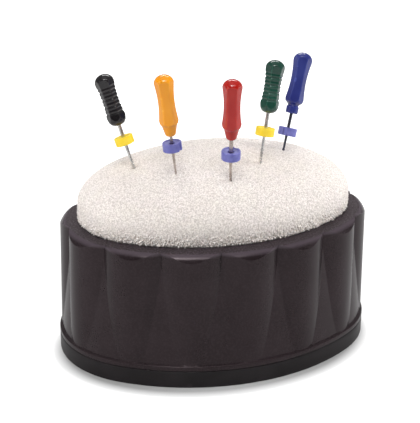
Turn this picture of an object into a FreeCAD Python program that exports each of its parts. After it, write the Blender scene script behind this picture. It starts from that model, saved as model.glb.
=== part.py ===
import FreeCAD, Part
import math
import os

# Oval stand for hand files, in millimetres. The origin is at the centre of the underside, +Z is up,
# +X runs along the oval's long axis and -Y faces the person who picks up the files.

# Oval outline of the foot, as half axes. Every oval here is four tangent arcs: two small ones at the
# ends and two large ones at the sides. They join where the outline's normal makes the joint angle with
# the long axis, so that insets of one oval share its centres.
FOOT_HALF_LONG = 30.0
FOOT_HALF_SHORT = 21.75
OVAL_JOINT_DEG = 53.0

# Heights of the shell
PARTING_Z = 3.3
FLANGE_TOP_Z = 4.9
FLANGE_EDGE = 0.2
RIM_Z = 25.8

# Fluted wall: how far its crests stand inside the foot's outline, how deep its valleys are, and the
# line inside the foot's outline along which the lobes are spaced evenly
LOBE_COUNT = 14
LOBE_LINE_INSET = 2.7
CREST_INSET = 0.6
VALLEY_DEPTH = 1.54

# The cone that fills the valleys from below and shows between the lobes as slim spires
SPIRE_APEX_Z = 23.0
SPIRE_INSET_BOTTOM = 0.85

# Rounded crown at the top of the wall, which gives every lobe its lens-shaped shoulder
CROWN_RADIUS = 1.45
CROWN_ARC_DEG = 72.0
CROWN_STEPS = 2

# Pocket for the foam, and the seat of the bottom plate's locating wall
POCKET_HALF_LONG = 25.75
POCKET_HALF_SHORT = 17.05
SEAT_WIDTH = 1.75
SEAT_TOP_Z = 8.0
FIT_GAP = 0.1

# Bottom plate, with a snap lug on each long side of its locating wall
PLATE_INSET = 0.1
PLATE_FOOT_EDGE = 0.35
SNAP_Z = 6.0
SNAP_LENGTH = 8.0
SNAP_HEIGHT = 0.8
SNAP_REACH = 0.35

# Foam block: plug in the pocket, a side that bulges over the rim, then a dome. FOAM_SIDE is the
# outline of the side from below, as (reach, z), where a reach of 1 is the full oval.
FOAM_HALF_LONG = 26.2
FOAM_HALF_SHORT = 17.55
FOAM_PLUG_REACH = 0.965
FOAM_SIDE = [(0.965, 25.95), (0.98, 26.0), (0.992, 26.6), (1.0, 27.7)]
FOAM_SHOULDER_Z = 28.9
FOAM_DOME_HEIGHT = 8.7
FOAM_DOME_POWER = 2.5
FOAM_DOME_ARC_DEG = 85.0
FOAM_DOME_STEPS = 7
FOAM_SIDES = 48

# Hand file: a 25 mm instrument below the handle, with a fluted part that is a twisted square
WORKING_LENGTH = 25.0
FLUTED_LENGTH = 18.2
FLUTE_LEAD = 2.2
FLUTE_STEP_DEG = 72.0
FLUTE_SHOULDER = 0.01
TIP_LENGTH = 0.25
TIP_POINT_SHARE = 0.2
SHANK_IN_HANDLE = 6.0
PUNCTURE_SIDES = 8
PUNCTURE_GAP = 0.02

# Silicone stop
STOP_RADIUS = 1.73
STOP_THICKNESS = 1.55
STOP_RIM = 0.36
STOP_DISH = 0.4
STOP_DISH_FLOOR = 0.55
STOP_DISH_SIDES = 24
STOP_CLEARANCE = 0.02
STOP_NOTCH_RADIUS = 0.42

# Handles: round at the bulb and under the dome, six-sided and hollowed between them. Each side is a
# hollow of SIDE_CURVE radius, and what is left of the round between two sides is a narrow ridge.
HEAD_RADIUS = 1.8
BULB_RADIUS = 1.75
DOME_HEIGHT = 1.6
DOME_ARC_DEG = 75.0
DOME_STEPS = 4
HANDLE_CORNERS = 18
GRIP_SIDES = 6
GRIP_STEPS = 4
SIDE_CURVE = 36.0
RIDGE_CURVE = 20.0
RING_MARGIN = 0.55
RING_PITCH = 0.66
RING_DEPTHS = (0.14, 0.07)

# The moulded patterns. Heights are from the handle's underside; foot is its outline below the bulb,
# as (radius, z).
PATTERNS = {
    "ringed": {
        "ringed": True, "bulb_z": 1.5, "waist_z": 4.7, "head_z": 8.1,
        "waist_radius": 1.55, "waist_apothem": 1.40,
        "foot": [(0.75, 0.0), (1.2, 0.22), (1.56, 0.7)],
    },
    "tapered collar": {
        "ringed": False, "bulb_z": 2.95, "waist_z": 6.4, "head_z": 10.1,
        "waist_radius": 1.47, "waist_apothem": 1.36,
        "foot": [(0.8, 0.0), (0.95, 0.15), (1.38, 2.05), (1.66, 2.45)],
    },
    "stepped collar": {
        "ringed": False, "bulb_z": 2.95, "waist_z": 6.4, "head_z": 10.1,
        "waist_radius": 1.47, "waist_apothem": 1.36,
        "foot": [(1.02, 0.0), (1.17, 0.15), (1.17, 1.45), (0.98, 1.55), (0.98, 1.8), (1.66, 2.4)],
    },
}

# The five files as they stand in the foam: where each one enters the foam, how far it leans to the
# right and towards the viewer, how much of it stays out below the handle, how far its stop sits
# below the handle, its tip and shank diameters, and the turns of its handle and of its stop's notch.
FILES = {
    "black": {
        "pattern": "ringed", "entry": (-15.9, -0.1), "lean_deg": (-15.4, -14.0), "stands_out": 8.1,
        "stop_below": 3.0, "tip": 0.40, "shank": 0.70, "turn_deg": 12.0, "notch_deg": -40.0,
    },
    "yellow": {
        "pattern": "tapered collar", "entry": (-10.1, -7.9), "lean_deg": (-7.3, -0.7),
        "stands_out": 8.0, "stop_below": 2.0, "tip": 0.20, "shank": 0.54, "turn_deg": 14.0,
        "notch_deg": -48.0,
    },
    "red": {
        "pattern": "tapered collar", "entry": (-1.1, -11.5), "lean_deg": (-2.0, 6.0),
        "stands_out": 8.3, "stop_below": 3.05, "tip": 0.25, "shank": 0.70, "turn_deg": 9.0,
        "notch_deg": 38.0,
    },
    "green": {
        "pattern": "ringed", "entry": (6.2, -7.0), "lean_deg": (11.3, -8.1), "stands_out": 9.4,
        "stop_below": 3.5, "tip": 0.35, "shank": 0.68, "turn_deg": 20.0, "notch_deg": 20.0,
    },
    "blue": {
        "pattern": "stepped collar", "entry": (13.3, -0.8), "lean_deg": (16.7, -12.9),
        "stands_out": 6.9, "stop_below": 3.5, "tip": 0.30, "shank": 0.58, "turn_deg": 6.0,
        "notch_deg": 228.0,
    },
}

UP = FreeCAD.Vector(0, 0, 1)


# Oval building blocks

def oval_arcs(half_long, half_short):
    """The oval's four arcs as (centre, radius, first angle, last angle), from the right end round."""
    joint = math.radians(OVAL_JOINT_DEG)
    end = (half_long - half_short) / (1 - 1 / math.cos(joint) + math.tan(joint))
    side = end * math.tan(joint)
    return [
        ((end, 0), half_long - end, -joint, joint),
        ((0, -side), half_short + side, joint, math.pi - joint),
        ((-end, 0), half_long - end, math.pi - joint, math.pi + joint),
        ((0, side), half_short + side, math.pi + joint, 2 * math.pi - joint),
    ]


def oval_wire(half_long, half_short, z):
    edges = []
    for (x, y), radius, first, last in oval_arcs(half_long, half_short):
        circle = Part.Circle(FreeCAD.Vector(x, y, z), UP, radius)
        edges.append(Part.ArcOfCircle(circle, first, last).toShape())
    return Part.Wire(edges)


def oval_stack(levels):
    """Closed solid through ovals given as (half_long, half_short, z)."""
    return Part.makeLoft([oval_wire(*level) for level in levels], True, True)


def oval_prism(half_long, half_short, bottom_z, top_z):
    return Part.Face(oval_wire(half_long, half_short, bottom_z)).extrude(UP * (top_z - bottom_z))


def inset_oval(inset, z):
    """The foot's outline drawn in by the same amount all round, at height z."""
    return (FOOT_HALF_LONG - inset, FOOT_HALF_SHORT - inset, z)


def pocket_prism(extra, bottom_z, top_z):
    """The pocket's outline, widened by extra all round, between two heights."""
    return oval_prism(POCKET_HALF_LONG + extra, POCKET_HALF_SHORT + extra, bottom_z, top_z)


def flat_face(corners):
    return Part.Face(Part.makePolygon(corners + corners[:1]))


def stacked_solid(sections, twisted=False):
    """Closed solid of flat faces through polygons that have equal numbers of corners.

    Where each polygon is turned against the last, a side between them is two triangles.
    """
    faces = [flat_face(sections[0]), flat_face(sections[-1])]
    count = len(sections[0])
    for near, far in zip(sections, sections[1:]):
        for k in range(count):
            after = (k + 1) % count
            if twisted:
                faces.append(flat_face([near[k], near[after], far[k]]))
                faces.append(flat_face([near[after], far[after], far[k]]))
            else:
                faces.append(flat_face([near[k], near[after], far[after], far[k]]))
    shell = Part.Shell(faces)
    shell.sewShape()
    solid = Part.Solid(shell)
    if solid.Volume < 0:
        solid.reverse()
    return solid


def outline_point(half_long, half_short, share, depth, z):
    """Point at a share of the oval's length from its right end on, moved in by depth."""
    arcs = oval_arcs(half_long, half_short)
    lengths = [radius * (last - first) for _, radius, first, last in arcs]
    along = share * sum(lengths) + lengths[0] / 2
    index = 0
    while along > lengths[index]:
        along -= lengths[index]
        index = (index + 1) % len(arcs)
    (x, y), radius, first, _ = arcs[index]
    angle = first + along / radius
    reach = radius - depth
    return FreeCAD.Vector(x + reach * math.cos(angle), y + reach * math.sin(angle), z)


# Shell

def lobe_point(lobes, inset, z):
    """Point that many lobes round from the right end, drawn in from the foot's outline by inset."""
    half_long, half_short, _ = inset_oval(LOBE_LINE_INSET, z)
    share = (lobes % LOBE_COUNT) / LOBE_COUNT
    return outline_point(half_long, half_short, share, inset - LOBE_LINE_INSET, z)


def lobed_wire(z):
    """Outline of round lobes that meet in valleys, with a valley at each end of the long axis."""
    valley_inset = CREST_INSET + VALLEY_DEPTH
    arcs = []
    for k in range(LOBE_COUNT):
        valley = lobe_point(k, valley_inset, z)
        crest = lobe_point(k + 0.5, CREST_INSET, z)
        next_valley = lobe_point(k + 1, valley_inset, z)
        arcs.append(Part.Arc(valley, crest, next_valley).toShape())
    return Part.Wire(arcs)


def crown_cap():
    """Oval solid whose top edge is rounded down; what it leaves of the lobes is their shoulder."""
    valley_inset = CREST_INSET + VALLEY_DEPTH
    levels = []
    for k in range(CROWN_STEPS + 1):
        angle = math.radians(CROWN_ARC_DEG * (1 - k / CROWN_STEPS))
        out = CROWN_RADIUS * math.sin(angle)
        drop = CROWN_RADIUS * (1 - math.cos(angle))
        levels.append(inset_oval(valley_inset - out, RIM_Z - drop))
    # Below the round the shoulder runs on, straight and steep, until it is outside the crests
    edge_long, edge_short, edge_z = levels[0]
    skirt_out = valley_inset
    skirt_z = edge_z - skirt_out * math.tan(math.radians(CROWN_ARC_DEG))
    skirt = [(edge_long + skirt_out, edge_short + skirt_out, z) for z in (0.0, skirt_z)]
    return oval_stack(skirt + levels)


def spire_cone():
    """Cone from just inside the crests at the flange to the valleys at the height of the apexes."""
    valley_inset = CREST_INSET + VALLEY_DEPTH
    draft = (valley_inset - SPIRE_INSET_BOTTOM) / (SPIRE_APEX_Z - FLANGE_TOP_Z)
    return oval_stack([
        inset_oval(SPIRE_INSET_BOTTOM + draft * (PARTING_Z - FLANGE_TOP_Z), PARTING_Z),
        inset_oval(valley_inset + draft * (RIM_Z - SPIRE_APEX_Z), RIM_Z),
    ])


def make_stand_body():
    lobes = Part.Face(lobed_wire(PARTING_Z)).extrude(UP * (RIM_Z - PARTING_Z))
    wall = lobes.fuse(spire_cone()).common(crown_cap())
    flange = oval_stack([
        inset_oval(0.0, PARTING_Z),
        inset_oval(0.0, FLANGE_TOP_Z - FLANGE_EDGE),
        inset_oval(FLANGE_EDGE, FLANGE_TOP_Z),
    ])
    hollows = [
        pocket_prism(0.0, 0.0, RIM_Z + 1),
        pocket_prism(SEAT_WIDTH, 0.0, SEAT_TOP_Z),
        snap_lugs(FIT_GAP),
    ]
    return wall.fuse(flange).cut(hollows).removeSplitter()


def snap_lugs(gap):
    """Bar across the stand whose two ends are the snap lugs, or with a gap the recesses for them."""
    half_width = POCKET_HALF_SHORT + SEAT_WIDTH - FIT_GAP + SNAP_REACH + gap
    length = SNAP_LENGTH + 2 * gap
    height = SNAP_HEIGHT + 2 * gap
    corner = FreeCAD.Vector(-length / 2, -half_width, SNAP_Z - height / 2)
    return Part.makeBox(length, 2 * half_width, height, corner)


# Bottom plate

def make_base_plate():
    plate = oval_stack([
        inset_oval(PLATE_INSET + PLATE_FOOT_EDGE, 0.0),
        inset_oval(PLATE_INSET, PLATE_FOOT_EDGE),
        inset_oval(PLATE_INSET, PARTING_Z),
    ])
    # The locating wall stands inside the shell, and its inner face is flush with the pocket
    wall = pocket_prism(SEAT_WIDTH - FIT_GAP, PARTING_Z - 1, SEAT_TOP_Z - FIT_GAP)
    inside = pocket_prism(0.0, PARTING_Z, SEAT_TOP_Z)
    return plate.fuse([wall, snap_lugs(0.0)]).cut(inside).removeSplitter()


# Foam

def foam_height(x, y):
    """Height of the dome's surface above the point (x, y)."""
    reach = math.hypot(x / FOAM_HALF_LONG, y / FOAM_HALF_SHORT)
    return FOAM_SHOULDER_Z + FOAM_DOME_HEIGHT * math.sqrt(1 - reach ** FOAM_DOME_POWER)


def many_sided_oval(reach, z):
    """The foam's outline as a polygon of equal sides, scaled by reach, so that its sides stay flat."""
    half_long, half_short = FOAM_HALF_LONG * reach, FOAM_HALF_SHORT * reach
    return [outline_point(half_long, half_short, k / FOAM_SIDES, 0.0, z) for k in range(FOAM_SIDES)]


def make_foam_insert(files):
    sections = [many_sided_oval(FOAM_PLUG_REACH, PARTING_Z)]
    sections += [many_sided_oval(reach, z) for reach, z in FOAM_SIDE]
    for k in range(FOAM_DOME_STEPS + 1):
        angle = math.radians(FOAM_DOME_ARC_DEG * k / FOAM_DOME_STEPS)
        reach = math.cos(angle) ** (2 / FOAM_DOME_POWER)
        z = FOAM_SHOULDER_Z + FOAM_DOME_HEIGHT * math.sin(angle)
        sections.append(many_sided_oval(reach, z))
    return stacked_solid(sections).cut([placed(puncture(data), data) for data in files])


# Hand files, each drawn upright with z = 0 at the underside of its handle and the tip pointing down

def upright_cylinder(radius, x, bottom_z, top_z):
    return Part.makeCylinder(radius, top_z - bottom_z, FreeCAD.Vector(x, 0, bottom_z))


def regular_corners(count, radius, z, angle_deg=0.0):
    corners = []
    for k in range(count):
        angle = math.radians(angle_deg + 360.0 * k / count)
        corners.append(FreeCAD.Vector(radius * math.cos(angle), radius * math.sin(angle), z))
    return corners


def puncture(data):
    """Slim eight-sided hole that the instrument has pushed into the foam."""
    to_corner = 1 / math.cos(math.pi / PUNCTURE_SIDES)
    sections = []
    for diameter, z in (
        (data["tip"], -WORKING_LENGTH - PUNCTURE_GAP),
        (data["shank"], FLUTED_LENGTH - WORKING_LENGTH),
        (data["shank"], 0.0),
    ):
        radius = (diameter / 2 + PUNCTURE_GAP) * to_corner
        sections.append(regular_corners(PUNCTURE_SIDES, radius, z))
    return stacked_solid(sections)


def make_blade(data):
    """Round shank and, below it, the right-hand twisted square that tapers to the tip."""
    shank = data["shank"] / 2
    tip = data["tip"] / 2
    flute_top = FLUTED_LENGTH - WORKING_LENGTH
    count = round((FLUTED_LENGTH - TIP_LENGTH) / FLUTE_LEAD * 360 / FLUTE_STEP_DEG)
    sections = []
    for k in range(count + 1):
        share = k / count
        z = flute_top - share * (FLUTED_LENGTH - TIP_LENGTH)
        radius = shank - FLUTE_SHOULDER + share * (tip - shank)
        sections.append(regular_corners(4, radius, z, -k * FLUTE_STEP_DEG))
    point = TIP_POINT_SHARE * tip
    sections.append(regular_corners(4, point, -WORKING_LENGTH, -count * FLUTE_STEP_DEG))
    round_part = upright_cylinder(shank, 0.0, flute_top, SHANK_IN_HANDLE)
    return round_part.fuse(stacked_solid(sections, twisted=True))


def make_stop(data):
    """Stop drawn with its middle at z = 0, its dished face up and its notch towards +X."""
    half = STOP_THICKNESS / 2
    disc = upright_cylinder(STOP_RADIUS, 0.0, -half, half)
    bore = upright_cylinder(data["shank"] / 2 + STOP_CLEARANCE, 0.0, -half - 1, half)
    notch = upright_cylinder(STOP_NOTCH_RADIUS, STOP_RADIUS + 0.1, -half - 1, half + 1)
    dish = stacked_solid([
        regular_corners(STOP_DISH_SIDES, STOP_DISH_FLOOR, half - STOP_DISH),
        regular_corners(STOP_DISH_SIDES, STOP_RADIUS - STOP_RIM, half),
    ])
    return disc.cut([bore, notch, dish])


def handle_section(pattern, radius, z, depth):
    """Round section of the handle with its six sides cut flat, all drawn in by a ring's depth."""
    bow = (z - pattern["waist_z"]) ** 2 / 2
    apothem = pattern["waist_apothem"] + bow / SIDE_CURVE - depth
    ridge = min(radius, pattern["waist_radius"] + bow / RIDGE_CURVE - depth)
    points = []
    for k in range(HANDLE_CORNERS):
        angle = 2 * math.pi * (k + 0.5) / HANDLE_CORNERS
        from_side = math.remainder(angle, 2 * math.pi / GRIP_SIDES)
        reach = min(ridge, apothem / math.cos(from_side))
        points.append(FreeCAD.Vector(reach * math.cos(angle), reach * math.sin(angle), z))
    return points


def ring_depth(k):
    """Depth of the grip's ring at half step k: a crest, a deep groove, a crest, a shallow one."""
    if k % 2 == 0:
        return 0.0
    return RING_DEPTHS[(k // 2) % len(RING_DEPTHS)]


def handle_levels(pattern):
    """The handle's sections from underside to dome, as (radius of the round, z, ring's depth)."""
    bulb, head = pattern["bulb_z"], pattern["head_z"]
    levels = [(radius, z, 0.0) for radius, z in pattern["foot"]] + [(BULB_RADIUS, bulb, 0.0)]
    if pattern["ringed"]:
        first, last = bulb + RING_MARGIN, head - RING_MARGIN
        steps = 2 * round((last - first) / RING_PITCH)
        levels += [(HEAD_RADIUS, first + (last - first) * k / steps, ring_depth(k))
                   for k in range(steps + 1)]
    else:
        levels += [(HEAD_RADIUS, bulb + (head - bulb) * k / GRIP_STEPS, 0.0)
                   for k in range(1, GRIP_STEPS)]
    for k in range(DOME_STEPS):
        angle = math.radians(DOME_ARC_DEG * k / (DOME_STEPS - 1))
        levels.append((HEAD_RADIUS * math.cos(angle), head + DOME_HEIGHT * math.sin(angle), 0.0))
    return levels


def make_handle(data):
    pattern = PATTERNS[data["pattern"]]
    sections = [handle_section(pattern, *level) for level in handle_levels(pattern)]
    hole = upright_cylinder(data["shank"] / 2, 0.0, 0.0, SHANK_IN_HANDLE)
    return stacked_solid(sections, twisted=True).cut(hole)


# Standing a file in the foam

def file_axis(data):
    right, near = (math.radians(angle) for angle in data["lean_deg"])
    axis = FreeCAD.Vector(math.tan(right), -math.tan(near), 1)
    return axis.normalize()


def placed(shape, data, along=0.0, turn_deg=0.0):
    """Move an upright shape to its file's place; along is measured from the handle's underside."""
    x, y = data["entry"]
    axis = file_axis(data)
    foot = FreeCAD.Vector(x, y, foam_height(x, y)) + axis * (data["stands_out"] + along)
    turn = FreeCAD.Rotation(UP, turn_deg)
    moved = shape.copy()
    moved.Placement = FreeCAD.Placement(foot, FreeCAD.Rotation(UP, axis).multiply(turn))
    return moved


def main():
    nodes = {
        "stand_body": make_stand_body(),
        "base_plate": make_base_plate(),
        "foam_insert": make_foam_insert(FILES.values()),
    }
    for colour, data in FILES.items():
        nodes[colour + "_file_handle"] = placed(make_handle(data), data, turn_deg=data["turn_deg"])
        nodes[colour + "_file_blade"] = placed(make_blade(data), data)
        nodes[colour + "_file_stop"] = placed(make_stop(data), data, -data["stop_below"],
                                              data["notch_deg"])
    os.makedirs("parts", exist_ok=True)
    for name, shape in nodes.items():
        solids = shape.Solids
        print(name, shape.ShapeType, len(solids), "solid", shape.isValid(), round(shape.Volume, 2),
              len(shape.Faces), "faces")
        solids[0].exportStep("parts/" + name + ".step")


main()
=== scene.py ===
# %% [markdown]
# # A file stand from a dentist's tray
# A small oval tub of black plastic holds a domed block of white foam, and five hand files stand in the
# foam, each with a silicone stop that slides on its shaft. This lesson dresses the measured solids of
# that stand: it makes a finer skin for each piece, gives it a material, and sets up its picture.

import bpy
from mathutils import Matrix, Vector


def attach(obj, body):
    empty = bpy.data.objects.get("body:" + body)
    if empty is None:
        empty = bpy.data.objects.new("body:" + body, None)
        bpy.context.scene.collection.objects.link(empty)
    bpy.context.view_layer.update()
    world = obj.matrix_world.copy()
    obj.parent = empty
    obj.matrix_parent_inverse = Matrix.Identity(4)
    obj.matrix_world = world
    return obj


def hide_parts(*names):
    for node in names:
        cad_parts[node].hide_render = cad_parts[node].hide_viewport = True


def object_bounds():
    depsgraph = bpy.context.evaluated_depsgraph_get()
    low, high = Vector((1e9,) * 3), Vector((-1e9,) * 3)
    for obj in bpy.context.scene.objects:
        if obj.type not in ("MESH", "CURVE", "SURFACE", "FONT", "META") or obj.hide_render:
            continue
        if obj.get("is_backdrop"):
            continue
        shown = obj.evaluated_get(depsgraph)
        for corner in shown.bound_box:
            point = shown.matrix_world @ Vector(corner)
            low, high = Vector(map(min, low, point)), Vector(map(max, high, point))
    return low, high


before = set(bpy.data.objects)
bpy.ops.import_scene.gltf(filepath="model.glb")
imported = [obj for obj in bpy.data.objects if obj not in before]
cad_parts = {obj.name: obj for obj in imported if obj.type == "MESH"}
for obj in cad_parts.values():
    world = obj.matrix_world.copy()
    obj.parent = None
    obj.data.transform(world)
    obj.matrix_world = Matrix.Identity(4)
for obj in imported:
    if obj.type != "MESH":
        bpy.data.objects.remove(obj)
solids_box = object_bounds()

# %% Tools of the lesson
import math
from collections import namedtuple

import bpy
import numpy as np
from mathutils import Matrix, Vector

MM = 0.001


def new_object(name, data):
    """Object with this data, linked into the scene."""
    made = bpy.data.objects.new(name, data)
    bpy.context.scene.collection.objects.link(made)
    return made


def new_mesh(name, points, faces):
    """Mesh from points in millimetres."""
    mesh = bpy.data.meshes.new(name)
    mesh.from_pydata((np.asarray(points, float) * MM).tolist(), [], faces)
    mesh.update()
    return mesh


print("every size below is in millimetres, and is turned into metres when a mesh is made")

# %% [markdown]
# ## The camera first
# Comparing a render with a photograph only works from the place where it was taken. That place was
# found by matching the stand's known oval with its outline in the picture. It is written here as a
# position, the direction that points back from the lens, and a small roll. A long lens from far away
# keeps the sides of the stand nearly parallel.

# %% Camera
CAMERA_AT = (-79.46, -228.14, 125.33)
CAMERA_BACK = Vector((-0.30075, -0.87362, 0.38254))
CAMERA_ROLL_DEG = 0.761
LENS_MM = 117.56

camera_data = bpy.data.cameras.new("camera")
camera_data.lens = LENS_MM
camera_data.sensor_fit = "VERTICAL"
camera_data.sensor_height = 36.0
camera_data.clip_start = 0.01
camera = new_object("camera", camera_data)
flat_right = Vector((0, 0, 1)).cross(CAMERA_BACK).normalized()
turned = Matrix.Rotation(math.radians(CAMERA_ROLL_DEG), 3, CAMERA_BACK)
right = turned @ flat_right
up = turned @ CAMERA_BACK.cross(flat_right)
axes = Matrix((right, up, CAMERA_BACK)).transposed().to_4x4()
camera.matrix_world = Matrix.Translation(Vector(CAMERA_AT) * MM) @ axes
bpy.context.scene.camera = camera
print("camera stands", round((Vector(CAMERA_AT) - Vector((0, 0, 15))).length), "mm away")

# %% [markdown]
# ## Small helpers for node trees
# Materials and Geometry Nodes are both trees of nodes, which get long in code. One helper adds a node
# and fills its inputs: it links what is a socket and writes down what is a number. The others do sums,
# which makes a formula in nodes about as short as in plain Python.

# %% Node helpers
def add(tree, kind, inputs=(), **settings):
    """Add a node; inputs are {name or index: socket or value}, settings are its own properties."""
    node = tree.nodes.new(kind)
    for name, value in settings.items():
        setattr(node, name, value)
    for name, value in dict(inputs).items():
        if isinstance(value, bpy.types.NodeSocket):
            tree.links.new(value, node.inputs[name])
        else:
            node.inputs[name].default_value = value
    return node


def calc(tree, operation, *values):
    """One Math node; gives its result socket."""
    return add(tree, "ShaderNodeMath", enumerate(values), operation=operation).outputs[0]


def between(tree, share, first, second):
    """The value at a share of the way from first to second."""
    return calc(tree, "MULTIPLY_ADD", share, calc(tree, "SUBTRACT", second, first), first)


def span(tree, value, low, high, new_low, new_high):
    """Map Range node from low..high to new_low..new_high, clamped at both ends."""
    inputs = {"Value": value, "From Min": low, "From Max": high, "To Min": new_low, "To Max": new_high}
    return add(tree, "ShaderNodeMapRange", inputs).outputs["Result"]


# %% [markdown]
# ## Geometry Nodes as a rule for a shape
# A shape that follows a rule is kept as the rule: sizes go in with names, and the mesh comes out. Each
# tree here starts with its named sizes and ends with Realize Instances and Set Material. The result is
# then turned into a plain mesh, so nothing depends on the modifier afterwards.

# %% Rule helpers
def start_rule(name, sizes):
    """New Geometry Nodes tree with named sizes; gives the tree and its input sockets."""
    tree = bpy.data.node_groups.new(name, "GeometryNodeTree")
    tree.interface.new_socket("Geometry", in_out="INPUT", socket_type="NodeSocketGeometry")
    for size, value in sizes.items():
        socket = tree.interface.new_socket(size, in_out="INPUT", socket_type="NodeSocketFloat")
        socket.default_value = value
    tree.interface.new_socket("Material", in_out="INPUT", socket_type="NodeSocketMaterial")
    tree.interface.new_socket("Geometry", in_out="OUTPUT", socket_type="NodeSocketGeometry")
    return tree, tree.nodes.new("NodeGroupInput").outputs


def end_rule(tree, geometry, material):
    real = add(tree, "GeometryNodeRealizeInstances", {"Geometry": geometry})
    painted = add(tree, "GeometryNodeSetMaterial", {"Geometry": real.outputs[0], "Material": material})
    add(tree, "NodeGroupOutput", {0: painted.outputs[0]})


def follow_rule(tree, mesh, values):
    """Run the tree on a mesh, with its inputs set by name, and give the result as a plain mesh."""
    maker = new_object(mesh.name + "_maker", mesh)
    modifier = maker.modifiers.new("rule", "NODES")
    modifier.node_group = tree
    for item in tree.interface.items_tree:
        if item.in_out == "INPUT" and item.name in values:
            modifier[item.identifier] = values[item.name]
    graph = bpy.context.evaluated_depsgraph_get()
    made = bpy.data.meshes.new_from_object(maker.evaluated_get(graph), preserve_all_data_layers=True,
                                           depsgraph=graph)
    bpy.data.objects.remove(maker)
    return made


# %% [markdown]
# ## Skins made of loops
# Everything round on this stand, from the tub to the stops, is a stack of closed loops of points with
# quads between them. A stack that ends is closed with a pole at each end, and a ring-shaped one runs
# back into its first loop. The loops run anticlockwise seen from above and are listed from the bottom
# outside upwards, which makes every face look outwards.

# %% Loop skins
def skin(name, rows, poles=None):
    """Mesh over rows of points, each row a closed loop. Without poles the last row meets the first."""
    rows = np.asarray(rows, float)
    count, across = rows.shape[:2]
    index = np.arange(count * across).reshape(count, across)
    below, above = (index, np.roll(index, -1, 0)) if poles is None else (index[:-1], index[1:])
    corners = (below, np.roll(below, -1, 1), np.roll(above, -1, 1), above)
    faces = np.stack(corners, -1).reshape(-1, 4).tolist()
    points = rows.reshape(-1, 3)
    if poles is not None:
        points = np.vstack([points, poles])
        bottom, top = count * across, count * across + 1
        faces += [(bottom, b, a) for a, b in zip(index[0], np.roll(index[0], -1))]
        faces += [(top, a, b) for a, b in zip(index[-1], np.roll(index[-1], -1))]
    return new_mesh(name, points, faces)


def softened(corners, step, passes, closed=False):
    """Points every step along a line of (radius, z) corners, with its corners rounded by averaging."""
    corners = np.array(list(corners) + (list(corners[:1]) if closed else []), float)
    along = np.concatenate([[0], np.cumsum(np.hypot(*np.diff(corners, axis=0).T))])
    at = np.linspace(0, along[-1], max(int(along[-1] / step), 8) + 1)
    line = np.stack([np.interp(at, along, corners[:, i]) for i in (0, 1)], 1)
    if closed:
        line = line[:-1]
    for _ in range(passes):
        mean = (np.roll(line, 1, 0) + 2 * line + np.roll(line, -1, 0)) / 4
        if not closed:
            mean[0], mean[-1] = line[0], line[-1]
        line = mean
    return line


def show(name, mesh, material, body, stands_for, sharp_deg=38):
    """Put a finished mesh in the scene as a piece that stands for a solid and rides on its body."""
    piece = new_object(name, mesh)
    if not mesh.materials or mesh.materials[0] is None:
        mesh.materials.clear()
        mesh.materials.append(material)
    mesh.shade_smooth()
    mesh.set_sharp_from_angle(angle=math.radians(sharp_deg))
    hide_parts(stands_for)
    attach(piece, body)
    print(name, "has", sum(len(face.vertices) - 2 for face in mesh.polygons), "triangles")
    return piece


# %% [markdown]
# ## Moulded plastic
# All the plastic here is injection moulded. Such a surface is never one even colour: the gloss varies a
# little where the melt cooled, a fine grain shows in the highlights, and convex edges are painted
# slightly paler, partly as wear from hands and partly as a painted highlight along the ridges. A broad
# noise gives gloss and tone, a fine one the grain, and Pointiness, which knows where a mesh is convex,
# the edges.

# %% Plastic material
def bare_tree(owner):
    """Emptied node tree of a material or world."""
    owner.use_nodes = True
    owner.node_tree.nodes.clear()
    return owner.node_tree


def start_material(name, **values):
    """Material with a Principled BSDF and its Object coordinates; values are the shader's own inputs."""
    material = bpy.data.materials.new(name)
    tree = bare_tree(material)
    inputs = {key.replace("_", " "): value for key, value in values.items()}
    shader = add(tree, "ShaderNodeBsdfPrincipled", inputs)
    add(tree, "ShaderNodeOutputMaterial", {"Surface": shader.outputs[0]})
    place = add(tree, "ShaderNodeTexCoord").outputs["Object"]
    return material, tree, shader, place


def noise(tree, place, size_mm, detail=2.0):
    inputs = {"Vector": place, "Scale": 1 / (size_mm * MM), "Detail": detail}
    return add(tree, "ShaderNodeTexNoise", inputs).outputs["Fac"]


def blend(tree, factor, first, second):
    """Colour that goes from first to second."""
    inputs = {0: factor, 6: first, 7: second}
    return add(tree, "ShaderNodeMix", inputs, data_type="RGBA").outputs[2]


def raise_grain(tree, shader, height, depth_mm):
    bump = add(tree, "ShaderNodeBump", {"Height": height, "Distance": depth_mm * MM})
    tree.links.new(bump.outputs[0], shader.inputs["Normal"])


def linear(red, green, blue):
    """Colour for a socket from the 0 to 255 values that a picture shows."""
    channels = [c / 255 for c in (red, green, blue)]
    return tuple(c / 12.92 if c <= 0.04045 else ((c + 0.055) / 1.055) ** 2.4 for c in channels) + (1.0,)


# Size of the patches in mm, and how far the colour goes towards the paler one in them and on edges,
# where it is wear and a painted highlight
PATCH_MM, PATCH_WEAR, EDGE_WEAR_AND_HIGHLIGHT = 6.0, 0.35, 0.8


def moulded(name, colour, worn_and_highlit, gloss, grain_mm, grain_depth_mm=0.004, edge=(0.52, 0.60), **values):
    """Moulded plastic: base colour, a paler one for patches, wear and a painted edge highlight, range of
    roughness, grain, and Pointiness of an edge.
    """
    material, tree, shader, place = start_material(name, **values)
    broad = noise(tree, place, PATCH_MM)
    tone = blend(tree, span(tree, broad, 0.35, 0.65, 0.0, PATCH_WEAR), colour, worn_and_highlit)
    # Convex edges are painted paler: partly wear, partly a painted highlight along the ridges
    edges = add(tree, "ShaderNodeNewGeometry").outputs["Pointiness"]
    tree.links.new(blend(tree, span(tree, edges, *edge, 0.0, EDGE_WEAR_AND_HIGHLIGHT), tone, worn_and_highlit),
                   shader.inputs["Base Color"])
    tree.links.new(span(tree, broad, 0.3, 0.7, *gloss), shader.inputs["Roughness"])
    raise_grain(tree, shader, noise(tree, place, grain_mm), grain_depth_mm)
    return material, tree, shader, place
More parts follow.
